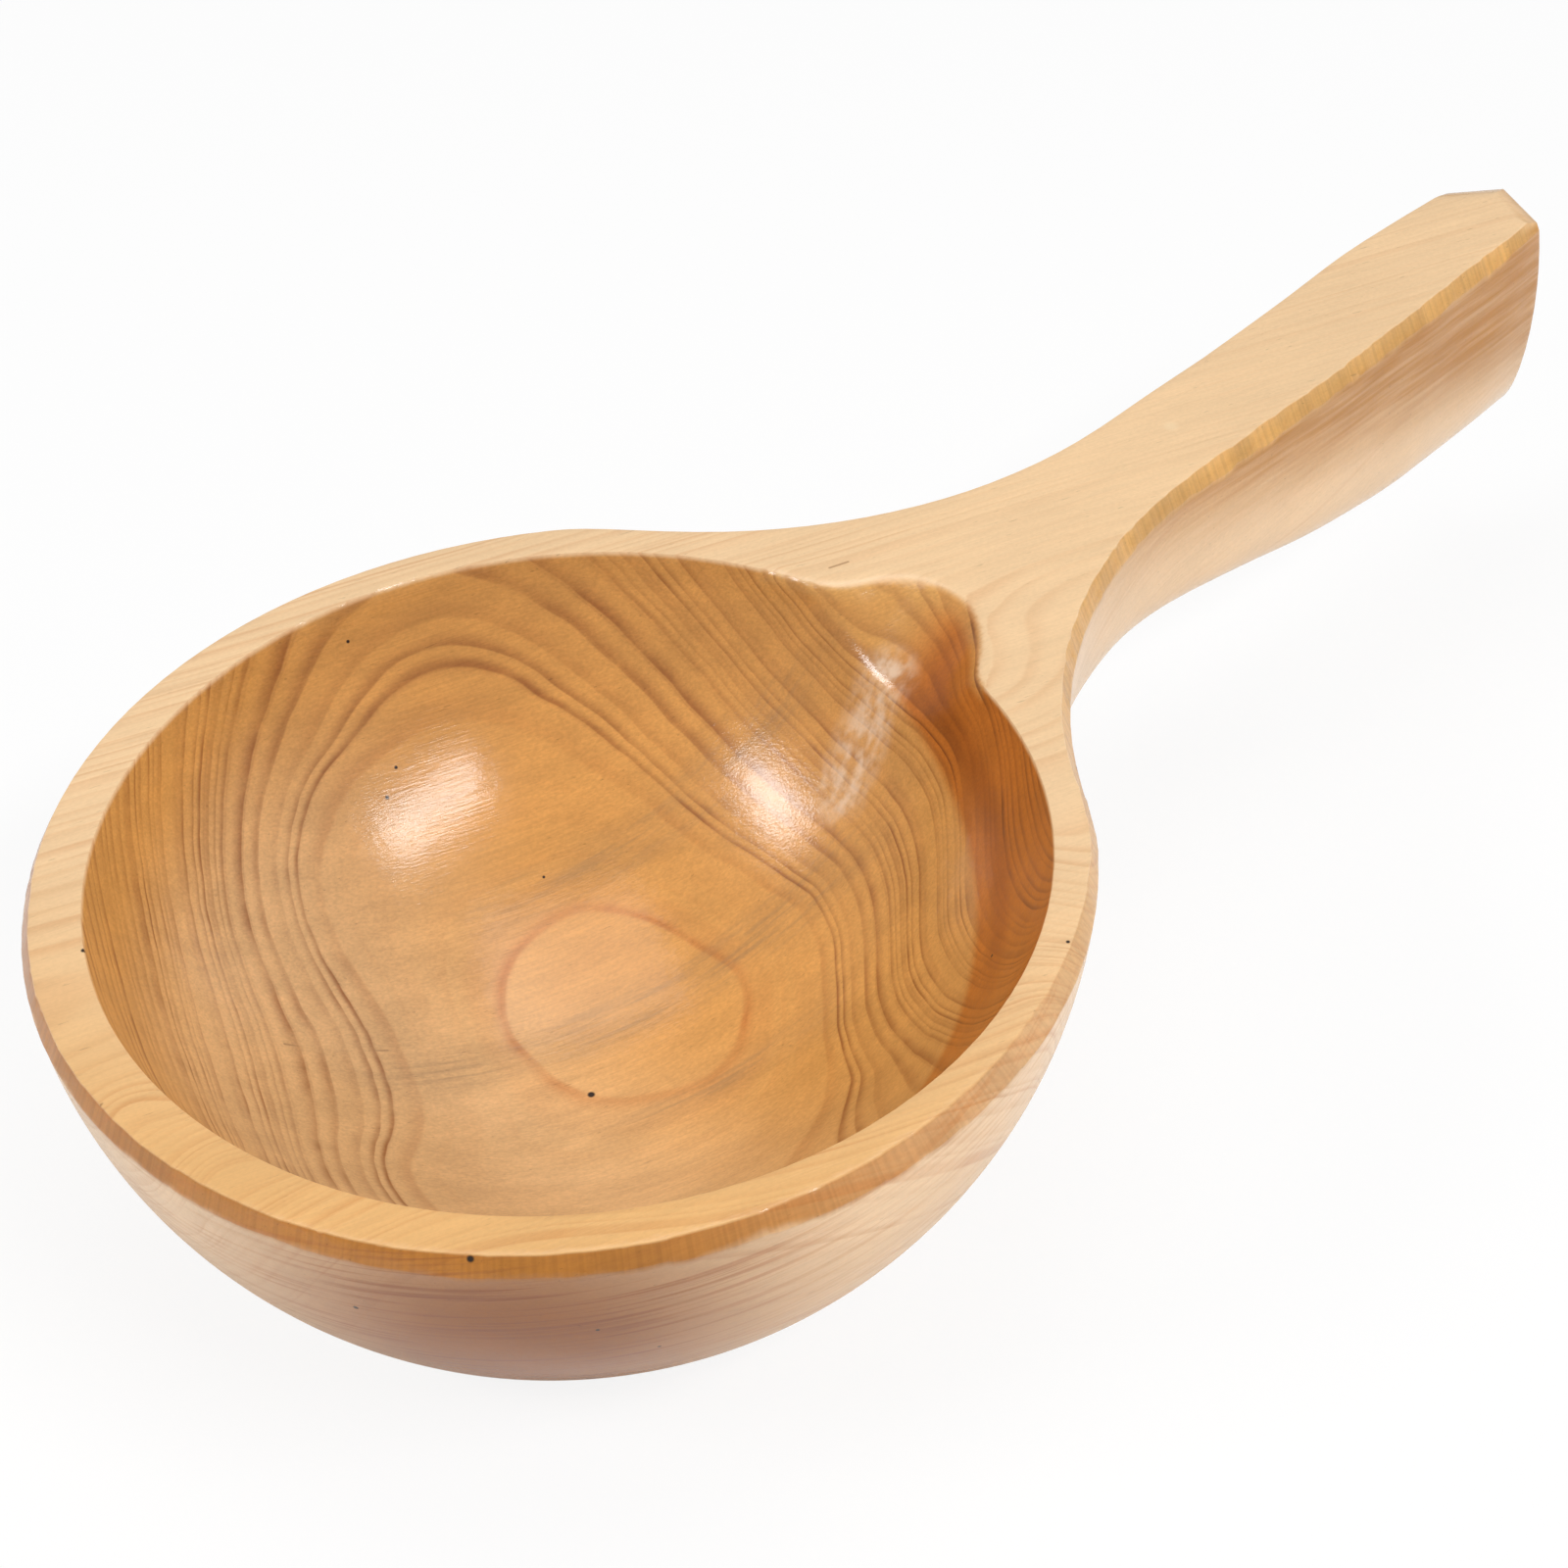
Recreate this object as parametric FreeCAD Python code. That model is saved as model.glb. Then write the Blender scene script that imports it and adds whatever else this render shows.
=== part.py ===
import FreeCAD, Part
import math
import os

# Wooden sauna ladle, carved from one block: a round bowl whose flat top runs on,
# without a step, as the top of a short straight handle.
# All lengths are in millimetres and all angles in degrees.
# The ladle is shaped with its flat top in the plane z = 0, the rim's centre at the
# origin and the handle along +X. At the end it is set down on its foot.

# Bowl, outside: part of a ball
BOWL_RADIUS = 71.2
BOWL_RISE = 3.8              # the ball's centre lies this far above the flat top
BOWL_SHIFT_BACK = 1.1        # and this far behind the rim's centre
BOWL_SHIFT_LEFT = 0.6        # and to its left, so the rim is widest there
BOWL_HEIGHT = 51.5           # rim's centre above the foot
RIM_SLOPE = 3.2              # the flat top climbs towards the handle's end

# Bowl, hollow: part of a larger ball
RIM_WIDTH = 7.1              # flat top between the hollow and the bowl's outside
FLOOR_THICKNESS = 6.0        # wood under the hollow's deepest place

# Pouring notch: a round gouge cut that runs from the neck down into the hollow
NOTCH_LENGTH = 10.4          # the notch's nose stands this far outside the hollow
NOTCH_GOUGE_RADIUS = 18.0
NOTCH_SLOPE = 32.0           # fall of the notch's bottom
NOTCH_OFFSET = 1.5           # the nose stands a little left of the handle's line
NOTCH_TURN = 11.0            # the notch runs a little to the right as it goes down
NOTCH_BLEND_RADIUS = 9.0     # soft edge between the notch and the hollow

# Flare, where the bowl runs into the neck
FLARE_RADIUS = 77.0          # curve of the neck's sides, seen from above
UNDER_FLARE_RADIUS = 88.0    # curve of the neck's underside, seen from the side
FLARE_END = 100.0            # bowl's centre to where the handle has its full section

# Handle
NECK_WIDTH = 20.4
NECK_DEPTH = 26.8
GRIP_DEPTH = 40.4
SWELL_START = 103.0          # bowl's centre to where the underside starts to swell
SWELL_END = 189.0            # and to where the grip has its full depth
VEER = 1.5                   # the handle's line drifts this far to the left
VEER_START = 146.0           # bowl's centre to where the drift starts
VEER_END = 191.0             # and to where it ends
TAPER_START = 181.0          # bowl's centre to where the sides start to close in
TAIL_WIDTH = 17.3            # width left at the handle's end
SECTION_FULLNESS = 0.80      # corners of the handle's section: 0.71 is round, 1 is square

# Handle's end: two cuts that meet in an upright ridge, and a small one underneath
TIP_REACH = 217.4            # rim's centre to the ridge
TIP_RIDGE_OFFSET = 4.2       # the ridge stands a little left of the middle
TIP_LEFT_CUT = 41.0          # angle of the left cut to the handle's line
TIP_RIGHT_CUT = 64.0         # angle of the blunt right cut to the handle's line
TIP_BULGE_RADIUS = 80.0      # both cuts bulge in height
TIP_BULGE_DEPTH = 20.0       # depth at which they stand out furthest
TIP_UNDER_CUT = 42.0         # angle of the cut under the end
TIP_UNDER_SETBACK = 8.0      # length that the under cut takes off the underside

# Bevel round the outer edge of the flat top
BEVEL_INSET = 1.2            # its width, seen from above
BEVEL_DROP = 2.4             # its height, seen from the side

# Sizes that follow from those above
ROUND_FULLNESS = math.sqrt(0.5)
NECK_HALF_WIDTH = NECK_WIDTH / 2
NECK_HALF_DEPTH = NECK_DEPTH + BOWL_RISE
HOLLOW_RADIUS = math.sqrt(BOWL_RADIUS ** 2 - BOWL_RISE ** 2) - RIM_WIDTH
HOLLOW_DEPTH = BOWL_HEIGHT - FLOOR_THICKNESS
HOLLOW_BALL_RADIUS = (HOLLOW_RADIUS ** 2 + HOLLOW_DEPTH ** 2) / (2 * HOLLOW_DEPTH)
LOFT_END = TIP_REACH + BOWL_SHIFT_BACK
REACH = BOWL_RADIUS + TIP_REACH    # blocks that cut reach this far, past all the wood

ORIGIN = FreeCAD.Vector(0, 0, 0)
X_AXIS = FreeCAD.Vector(1, 0, 0)
Y_AXIS = FreeCAD.Vector(0, 1, 0)
Z_AXIS = FreeCAD.Vector(0, 0, 1)


def flare_centre(flare_radius, half_size):
    """Place of the centre of an arc that leaves the bowl and meets the handle."""
    return math.sqrt((BOWL_RADIUS + flare_radius) ** 2 - (half_size + flare_radius) ** 2)


def flare_start(flare_radius, half_size):
    """Place at which such an arc leaves the bowl."""
    return flare_centre(flare_radius, half_size) * BOWL_RADIUS / (BOWL_RADIUS + flare_radius)


JOINT = min(flare_start(FLARE_RADIUS, NECK_HALF_WIDTH),
            flare_start(UNDER_FLARE_RADIUS, NECK_HALF_DEPTH))
FLARE_LENGTH = flare_centre(FLARE_RADIUS, NECK_HALF_WIDTH) - JOINT


def ease(value, start, end):
    """Smooth step from 0 at start to 1 at end."""
    step = min(max((value - start) / (end - start), 0.0), 1.0)
    return step * step * (3 - 2 * step)


def flared_size(x, flare_radius, half_size):
    """Half size of the form at x: the ball's, then the flare's arc, then the neck's."""
    centre = flare_centre(flare_radius, half_size)
    if x <= flare_start(flare_radius, half_size):
        return math.sqrt(BOWL_RADIUS ** 2 - x ** 2)
    if x >= centre:
        return half_size
    return half_size + flare_radius - math.sqrt(flare_radius ** 2 - (centre - x) ** 2)


def half_width(x):
    """Half width of the handle at x."""
    closing = (NECK_WIDTH - TAIL_WIDTH) / 2 * ease(x, TAPER_START, LOFT_END)
    return flared_size(x, FLARE_RADIUS, NECK_HALF_WIDTH) - closing


def half_depth(x):
    """Half depth of the handle at x, from the height of the ball's centre."""
    swell = (GRIP_DEPTH - NECK_DEPTH) * ease(x, SWELL_START, SWELL_END)
    return flared_size(x, UNDER_FLARE_RADIUS, NECK_HALF_DEPTH) + swell


def section(x):
    """Closed outline of the handle at x, of four conic arcs from round to nearly square."""
    flared = ease(x, JOINT, FLARE_END)
    fullness = ROUND_FULLNESS + (SECTION_FULLNESS - ROUND_FULLNESS) * flared
    corner_weight = (2 * fullness - 1) / (2 - 2 * fullness)
    middle = VEER * ease(x, VEER_START, VEER_END) - BOWL_SHIFT_LEFT * flared
    wide = half_width(x)
    deep = half_depth(x)
    corners = [(0, deep), (wide, deep), (wide, 0), (wide, -deep), (0, -deep),
               (-wide, -deep), (-wide, 0), (-wide, deep), (0, deep)]
    poles = [FreeCAD.Vector(x, middle + y, z) for y, z in corners]
    curve = Part.BSplineCurve()
    curve.buildFromPolesMultsKnots(poles, [3, 2, 2, 2, 3], [0, 1, 2, 3, 4], False, 2,
                                   [1, corner_weight] * 4 + [1])
    return Part.Wire([curve.toShape()])


def section_places():
    """Places of the handle's sections: the first three lie inside the ball and lead
    the handle's skin into it."""
    flare = [JOINT + FLARE_LENGTH * step / 12 for step in range(-3, 12)]
    straight = LOFT_END - flare[-1]
    return flare + [flare[-1] + straight * step / 9 for step in range(1, 10)]


def block(x_low, x_high, z_low, z_high):
    """Block across the whole ladle between two distances and two heights."""
    corner = FreeCAD.Vector(x_low, -REACH, z_low)
    return Part.makeBox(x_high - x_low, 2 * REACH, z_high - z_low, corner)


def round_form():
    """Ball and handle in one smooth skin, still closed above the rim."""
    ball = Part.makeSphere(BOWL_RADIUS).common(block(-REACH, JOINT, -REACH, REACH))
    handle = Part.makeLoft([section(x) for x in section_places()], True, False)
    handle = handle.common(block(JOINT, REACH, -REACH, REACH))
    form = ball.fuse(handle)
    form.translate(FreeCAD.Vector(-BOWL_SHIFT_BACK, BOWL_SHIFT_LEFT, BOWL_RISE))
    return form


def end_cut(side, angle):
    """Block beyond a bulged cut that slants back from the ridge, seen from above."""
    cutter = block(-TIP_BULGE_RADIUS, REACH, -REACH, REACH)
    start = FreeCAD.Vector(-TIP_BULGE_RADIUS, -REACH, -TIP_BULGE_DEPTH)
    cutter = cutter.cut(Part.makeCylinder(TIP_BULGE_RADIUS, 2 * REACH, start, Y_AXIS))
    cutter.rotate(ORIGIN, Z_AXIS, side * (90 - angle))
    cutter.translate(FreeCAD.Vector(TIP_REACH, TIP_RIDGE_OFFSET, 0))
    return cutter


def under_cut():
    """Block beyond a cut that slants under the handle's end."""
    cutter = block(0, REACH, -REACH, REACH)
    cutter.rotate(ORIGIN, Y_AXIS, TIP_UNDER_CUT)
    cutter.translate(FreeCAD.Vector(TIP_REACH - TIP_UNDER_SETBACK, 0, -GRIP_DEPTH))
    return cutter


def lies_flat(edge, height):
    """Whether an edge lies in the level plane at a height."""
    box = edge.BoundBox
    return max(abs(box.ZMin - height), abs(box.ZMax - height)) < 0.01


def bevelled(wood):
    """The wood with the outer edge of its flat top bevelled."""
    edge = [edge for edge in wood.Edges if lies_flat(edge, 0)]
    return wood.makeChamfer(BEVEL_DROP, BEVEL_INSET, edge)


def gouge():
    """Round bar that slopes from the notch's nose down into the hollow."""
    inward = FreeCAD.Vector(-1, 0, 0)
    above = FreeCAD.Vector(0, 0, 1)
    slope = FreeCAD.Rotation(Y_AXIS, -NOTCH_SLOPE)
    turn = FreeCAD.Rotation(Z_AXIS, NOTCH_TURN)
    inward = turn.multVec(slope.multVec(inward))
    above = turn.multVec(slope.multVec(above))
    nose = FreeCAD.Vector(HOLLOW_RADIUS + NOTCH_LENGTH, NOTCH_OFFSET, 0)
    start = nose + above * NOTCH_GOUGE_RADIUS - inward * HOLLOW_RADIUS
    return Part.makeCylinder(NOTCH_GOUGE_RADIUS, 2 * HOLLOW_RADIUS, start, inward)


def hollow_and_notch():
    """All that is carved out of the top, with the notch blended into the hollow."""
    lid = NOTCH_GOUGE_RADIUS / 2
    centre = FreeCAD.Vector(0, 0, HOLLOW_BALL_RADIUS - HOLLOW_DEPTH)
    hollow = Part.makeSphere(HOLLOW_BALL_RADIUS, centre, X_AXIS)
    hollow = hollow.common(block(-REACH, REACH, -REACH, lid))
    notch = gouge().common(block(0, REACH, -REACH, lid))
    carved = hollow.fuse(notch).removeSplitter()
    seam = [edge for edge in carved.Edges if is_notch_seam(edge, lid)]
    return carved.makeFillet(NOTCH_BLEND_RADIUS, seam)


def is_notch_seam(edge, lid):
    """Whether an edge is where the notch breaks into the hollow's wall."""
    box = edge.BoundBox
    return box.XMin > HOLLOW_RADIUS / 2 and box.ZMin < lid - 1 and box.YLength > 1


def build():
    """The whole ladle, standing on its foot."""
    wood = round_form().cut(block(-REACH, REACH, 0, REACH))
    for cutter in (end_cut(1, TIP_LEFT_CUT), end_cut(-1, TIP_RIGHT_CUT), under_cut()):
        wood = wood.cut(cutter)
    wood = bevelled(wood).cut(hollow_and_notch())
    wood.rotate(ORIGIN, Y_AXIS, -RIM_SLOPE)
    wood = wood.cut(block(-REACH, REACH, -REACH, -BOWL_HEIGHT))
    foot_edge = [edge for edge in wood.Edges if lies_flat(edge, -BOWL_HEIGHT)]
    wood.translate(-Part.Face(Part.Wire(foot_edge)).CenterOfMass)
    return wood


if __name__ == "__main__":
    os.makedirs("parts", exist_ok=True)
    ladle = build()
    ladle.exportStep("parts/ladle.step")
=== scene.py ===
"""Studio scene of a carved wooden sauna ladle: one piece of lacquered pine on a white table."""

import logging
import math
from dataclasses import dataclass, field
from enum import Enum

import bmesh
import bpy
import numpy as np
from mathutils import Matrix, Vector


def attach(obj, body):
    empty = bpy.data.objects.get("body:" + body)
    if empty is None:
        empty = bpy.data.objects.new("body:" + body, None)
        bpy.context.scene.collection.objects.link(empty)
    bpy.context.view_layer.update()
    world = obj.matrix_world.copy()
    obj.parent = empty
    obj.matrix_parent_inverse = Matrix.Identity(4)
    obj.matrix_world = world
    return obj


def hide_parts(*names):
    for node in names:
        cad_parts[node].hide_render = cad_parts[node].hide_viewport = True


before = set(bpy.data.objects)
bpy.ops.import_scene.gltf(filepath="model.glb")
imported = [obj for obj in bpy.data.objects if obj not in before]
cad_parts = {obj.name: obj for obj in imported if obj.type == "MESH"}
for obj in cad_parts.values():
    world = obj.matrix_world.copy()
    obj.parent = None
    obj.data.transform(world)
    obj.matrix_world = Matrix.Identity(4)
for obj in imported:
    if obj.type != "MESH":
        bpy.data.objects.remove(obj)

log = logging.getLogger("ladle")

MM = 0.001

Place = tuple[float, float, float]
Span = tuple[float, float]
Tree = bpy.types.NodeTree
Node = bpy.types.Node
Socket = bpy.types.NodeSocket
Shares = dict[str, Socket]

# Settings that many nodes share.
SMOOTH = {"interpolation_type": "SMOOTHSTEP"}
COLOUR = {"data_type": "RGBA"}
NUMBER = {"data_type": "FLOAT"}
ONE_WAY = {"noise_dimensions": "1D"}
MULTIPLY = {"operation": "MULTIPLY"}
MULTIPLY_ADD = {"operation": "MULTIPLY_ADD"}
SUBTRACT = {"operation": "SUBTRACT"}
POWER = {"operation": "POWER"}
SCALE = {"operation": "SCALE"}
DISTANCE = {"operation": "DISTANCE"}
DOT_PRODUCT = {"operation": "DOT_PRODUCT"}


def linear(hex_colour: str) -> tuple[float, float, float, float]:
    """Turns an sRGB hex colour into linear light.

    Args:
        hex_colour: Colour as "#rrggbb".

    Returns:
        Red, green, blue and alpha, linear, 0 to 1.
    """
    text = hex_colour.lstrip("#")
    channels = [int(text[i:i + 2], 16) / 255 for i in (0, 2, 4)]
    return tuple(c / 12.92 if c <= 0.04045 else ((c + 0.055) / 1.055) ** 2.4 for c in channels) + (1.0,)


def add_node(tree: Tree, kind: str, settings: dict | None = None, inputs: dict | None = None) -> Node:
    """Adds one node with its settings, and fills or links its inputs.

    Args:
        tree: Node tree that gets the node.
        kind: Node type without its prefix, such as "Math".
        settings: Properties of the node by name.
        inputs: Values, sockets or nodes by input name or number. A node stands for its first output.

    Returns:
        The new node.
    """
    node = tree.nodes.new("ShaderNode" + kind)
    for name, value in (settings or {}).items():
        setattr(node, name, value)
    for name, value in (inputs or {}).items():
        source = value.outputs[0] if isinstance(value, Node) else value
        if isinstance(source, Socket):
            tree.links.new(source, node.inputs[name])
        else:
            node.inputs[name].default_value = source
    return node


@dataclass(frozen=True)
class Fade:
    """One soft border: the value it follows, where it starts, where it is full, and its level there."""

    value: Socket
    start: float
    full: float
    level: float = 1.0


def overlap(tree: Tree, factors: tuple[Socket | Fade, ...]) -> Socket:
    """Multiplies shares and soft borders with each other.

    Args:
        tree: Node tree of the material.
        factors: Shares, each a socket or a soft border.

    Returns:
        Share that is left where all of them hold, 0 to 1.
    """
    share = None
    for factor in factors:
        if isinstance(factor, Fade):
            factor = add_node(tree, "MapRange", SMOOTH,
                              {"Value": factor.value, "From Min": factor.start, "From Max": factor.full,
                               "To Max": factor.level}).outputs[0]
        if share is not None:
            factor = add_node(tree, "Math", MULTIPLY, {0: share, 1: factor}).outputs[0]
        share = factor
    return share


def only(piece: bpy.types.Object) -> None:
    """Makes a piece the one that is selected and active."""
    bpy.ops.object.select_all(action="DESELECT")
    piece.select_set(True)
    bpy.context.view_layer.objects.active = piece


def finish_modifier(piece: bpy.types.Object, kind: str, settings: dict) -> None:
    """Adds a modifier with its settings and applies it.

    Args:
        piece: Piece that gets it.
        kind: Modifier type, such as "REMESH".
        settings: Properties of the modifier by name.
    """
    only(piece)
    modifier = piece.modifiers.new(kind.title(), kind)
    for name, value in settings.items():
        setattr(modifier, name, value)
    bpy.ops.object.modifier_apply(modifier=modifier.name)


@dataclass(frozen=True)
class GrowthRing:
    """One dark growth line: how far from the pith, how dark, and how wide its fade, in mm."""

    radius: float
    darkness: float
    fade: float


@dataclass(frozen=True)
class GrainBend:
    """One place where the grain bends: its middle, its width and how far it shifts the rings, in mm."""

    middle: Place
    width: float
    shift: float


@dataclass(frozen=True)
class LineStrength:
    """How strongly a kind of growth line shows in each part of the ladle, 0 to 1.

    The parts are the bowl's outside, the handle, the hollow's wall and its floor. The last value is what
    the line gains in the painted shade under the bowl's near side, or loses there where it is below 0.
    """

    outside: float
    handle: float
    wall: float
    floor: float
    under: float


@dataclass(frozen=True)
class FibreTone:
    """One layer of fibres: a streak's length, width and height in mm, and its darkest and lightest tone."""

    streak: Place
    darkest: float
    lightest: float


@dataclass(frozen=True)
class Stain:
    """One grey band along the grain: its place across it, its half width and its two ends, in mm."""

    middle: float
    width: float
    start: float
    end: float


@dataclass(frozen=True)
class Mark:
    """One mark of its own: its ends and half width in mm, colour and strength, and if it is scratched."""

    start: Place
    end: Place
    width: float
    colour: str
    strength: float
    patchy: bool = False


@dataclass(frozen=True)
class Speck:
    """One dark speck: its place and its radius, in mm."""

    place: Place
    radius: float


@dataclass(frozen=True)
class LacqueredPine:
    """Siberian pine, carved, sanded and lacquered.

    Honey wood with thin brown growth lines, fine fibres, and a clear coat that gives soft
    highlights. The pith lies above the bowl, so the hollow shows the rings as ovals, as on a map.
    """

    name: str = "siberian_pine_lacquered"

    # Colours of the bare wood, by the part of the ladle that shows them, and two painted shades: under the
    # bowl's near side and below the handle's top edge.
    sapwood: str = "#ecc89b"
    golden_rim: str = "#e3b172"
    carved_wood: str = "#d29851"
    carved_pale: str = "#deb27e"
    heartwood: str = "#b86414"
    heart_core: str = "#8a420a"
    edge_wood: str = "#b87526"
    handle_edge: str = "#d8a45e"
    side_wood: str = "#f2cea3"
    # Painted shade on the handle's side just below its top edge.
    handle_side_shade: str = "#b4740e"
    # Painted shade: the darker brown of the bowl's near lower outer wall, which the lamps leave in shade.
    under_shade: str = "#9a5a1c"

    # Colours of the growth lines and of the marks.
    late_line: str = "#c07434"
    carved_line: str = "#86481f"
    floor_line: str = "#b4682c"
    heart_line: str = "#6d3510"
    stain: str = "#7f6a50"
    speck: str = "#2b1c10"

    # The tree's pith, how the grain runs from it, and how the rings lean on the right of the notch.
    pith: Place = (-5.85, 3.3, 91.86)
    grain_azimuth: float = math.radians(-21.2)
    grain_rise: float = math.radians(4.1)
    lean: float = 0.33
    lean_middle: float = 6.0
    lean_across: Span = (16.0, -16.0)
    lean_ahead: Span = (20.0, 50.0)

    # Waves of the growth lines: their size along, across and up, and their height, less round the floor.
    wave: Place = (40.0, 12.0, 12.0)
    waviness: float = 0.55
    calm_radius: Span = (78.0, 84.0)

    # A year's growth in mm, how uneven the years are, and the part of it where its line is darkest.
    fine_ring_width: float = 1.35
    year_change: float = 3.5
    late_part: float = 0.88
    ring_edge: float = 0.12
    rings: tuple[GrowthRing, ...] = (
        GrowthRing(61.5, 0.75, 0.6), GrowthRing(65.1, 0.5, 0.5), GrowthRing(67.8, 0.8, 0.6),
        GrowthRing(70.4, 0.6, 0.6), GrowthRing(72.5, 0.8, 0.6), GrowthRing(73.9, 0.6, 0.5),
        GrowthRing(75.6, 0.35, 0.5), GrowthRing(77.6, 0.7, 0.6), GrowthRing(80.05, 0.2, 0.5),
        GrowthRing(83.25, 1.0, 0.35))
    bends: tuple[GrainBend, ...] = (
        GrainBend((-3.3, -28.4, 12.1), 28.9, -5.82), GrainBend((-7.8, 46.2, 24.8), 13.0, 2.56),
        GrainBend((21.3, 8.9, 10.2), 13.5, 1.3), GrainBend((-53.5, -34.1, 48.6), 22.2, 11.14),
        GrainBend((-33.6, -3.6, 11.1), 12.7, 2.85), GrainBend((13.6, 35.2, 14.8), 12.9, -1.62),
        GrainBend((16.9, -24.8, 10.3), 12.9, 1.94), GrainBend((36.5, -11.6, 16.8), 12.9, 3.61),
        GrainBend((51.5, -6.8, 30.2), 14.4, 1.28), GrainBend((-19.8, 20.2, 9.6), 12.9, -1.32),
        GrainBend((-66.9, 5.5, 47.7), 4.0, 3.0), GrainBend((-65.2, -8.8, 47.8), 5.0, 3.5),
        GrainBend((61.0, -17.0, 54.0), 13.0, 6.0))
    fine_lines: LineStrength = LineStrength(0.40, 0.12, 0.85, 0.16, -0.32)
    strong_lines: LineStrength = LineStrength(0.34, 0.06, 0.38, 0.85, -0.28)
    thread_lines: LineStrength = LineStrength(0.30, 0.0, 0.0, 0.0, 0.6)
    tones: tuple[FibreTone, ...] = (
        FibreTone((26, 0.8, 0.8), 0.965, 1.015), FibreTone((9, 0.28, 0.28), 0.935, 1.04),
        FibreTone((14, 4, 4), 0.95, 1.04), FibreTone((60, 16, 16), 0.94, 1.06),
        FibreTone((0.6, 0.45, 0.45), 0.94, 1.05))

    # What time and use left in the wood, and a painted highlight streak down the notch.
    stain_fade: float = 18.0
    stains: tuple[Stain, ...] = (
        Stain(9.5, 7.0, -32, 62), Stain(32.0, 5.0, -12, 62), Stain(-9.5, 4.0, -5, 45))
    marks: tuple[Mark, ...] = (
        # A painted highlight: the pale streak down the notch's crease, where the coat catches the left
        # softbox, broken into patches.
        Mark((63.5, -0.8, 46.0), (53.0, -1.1, 31.0), 4.0, "#f4dfc6", 0.58, patchy=True),
        Mark((-69.0, 8.3, 47.6), (-59.8, 10.0, 43.8), 0.2, "#7a4a20", 0.6),
        Mark((-28.7, 26.3, 18.6), (-15.1, 21.3, 11.4), 0.18, "#7d6248", 0.5),
        Mark((67.6, 15.2, 55.2), (70.4, 14.2, 55.4), 0.2, "#8a5a2c", 0.6),
        Mark((126.8, 0.5, 58.5), (126.8, 0.6, 58.5), 1.1, "#f1d6ac", 0.5))
    specks: tuple[Speck, ...] = (
        Speck((2.5, -1.4, 6.0), 0.6), Speck((-54.4, -43.6, 47.9), 0.55), Speck((-53.7, 32.0, 48.4), 0.4),
        Speck((9.3, 48.1, 27.6), 0.35), Speck((12.7, 49.8, 30.3), 0.3), Speck((-61.2, -29.4, 34.1), 0.4),
        Speck((-42.9, -52.4, 33.4), 0.3), Speck((21.6, 28.6, 16.5), 0.25), Speck((-34.9, -54.5, 25.6), 0.3),
        Speck((32.0, -60.9, 53.2), 0.3), Speck((14.0, 60.1, 47.1), 0.3), Speck((36.7, -44.6, 37.5), 0.3))

    # Lacquer over sanded wood: the wood itself hardly shines, the coat does.
    ior: float = 1.5
    wood_shine: float = 0.1
    wood_roughness: Span = (0.48, 0.58)
    coat: float = 0.8
    coat_roughness: float = 0.16

    def grain_frame(self, tree: Tree, place: Socket) -> Socket:
        """Turns places into the tree's own frame, with X along the grain and the pith at 0.

        Args:
            tree: Node tree of the material.
            place: Place in the piece, in mm.

        Returns:
            Place in the grain's frame, in mm.
        """
        centred = add_node(tree, "VectorMath", SUBTRACT, {0: place, 1: self.pith})
        turned = add_node(tree, "VectorRotate", {"rotation_type": "EULER_XYZ", "invert": True},
                          {"Vector": centred, "Rotation": (0, -self.grain_rise, self.grain_azimuth)})
        return turned.outputs[0]

    def ring_radius(self, tree: Tree, place: Socket, grain: Socket) -> Socket:
        """Works out how far from the pith the wood grew, with the bends of the grain.

        Args:
            tree: Node tree of the material.
            place: Place in the piece, in mm.
            grain: Place in the grain's frame, in mm.

        Returns:
            Distance from the pith, in mm.
        """
        across = add_node(tree, "VectorMath", MULTIPLY, {0: grain, 1: (0, 1, 1)})
        length = add_node(tree, "VectorMath", {"operation": "LENGTH"}, {0: across})
        radius = length.outputs["Value"]
        for bend in self.bends:
            away = add_node(tree, "VectorMath", DISTANCE, {0: place, 1: bend.middle})
            square = add_node(tree, "Math", POWER, {0: away.outputs["Value"], 1: 2})
            fall = add_node(tree, "Math", MULTIPLY, {0: square, 1: -0.5 / bend.width ** 2})
            bell = add_node(tree, "Math", {"operation": "EXPONENT"}, {0: fall})
            shifted = add_node(tree, "Math", MULTIPLY_ADD, {0: bell, 1: bend.shift, 2: radius})
            radius = shifted.outputs[0]
        return self.uneven_rings(tree, place, grain, radius)

    def uneven_rings(self, tree: Tree, place: Socket, grain: Socket, radius: Socket) -> Socket:
        """Leans the rings where the grain turns into the handle, and lets them wave, less round the floor.

        Args:
            tree: Node tree of the material.
            place: Place in the piece, in mm.
            grain: Place in the grain's frame, in mm.
            radius: Distance from the pith, in mm.

        Returns:
            Distance from the pith with its lean and its waves, in mm.
        """
        ahead = add_node(tree, "SeparateXYZ", None, {0: place})
        across = add_node(tree, "SeparateXYZ", None, {0: grain}).outputs[1]
        right = add_node(tree, "MapRange", SMOOTH, {"Value": across, "From Min": self.lean_across[0],
                                                    "From Max": self.lean_across[1]})
        beside = add_node(tree, "Math", {"operation": "ADD"}, {0: across, 1: -self.lean_middle})
        beside = add_node(tree, "Math", MULTIPLY, {0: beside, 1: right})
        front = add_node(tree, "MapRange", SMOOTH, {"Value": ahead, "From Min": self.lean_ahead[0],
                                                    "From Max": self.lean_ahead[1], "To Max": self.lean})
        leaning = add_node(tree, "Math", MULTIPLY_ADD, {0: beside, 1: front, 2: radius})
        stretched = add_node(tree, "VectorMath", MULTIPLY, {0: grain, 1: [1 / size for size in self.wave]})
        wave = add_node(tree, "TexNoise", None, {"Vector": stretched, "Scale": 1, "Detail": 2})
        centred = add_node(tree, "Math", SUBTRACT, {0: wave, 1: 0.5})
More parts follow.
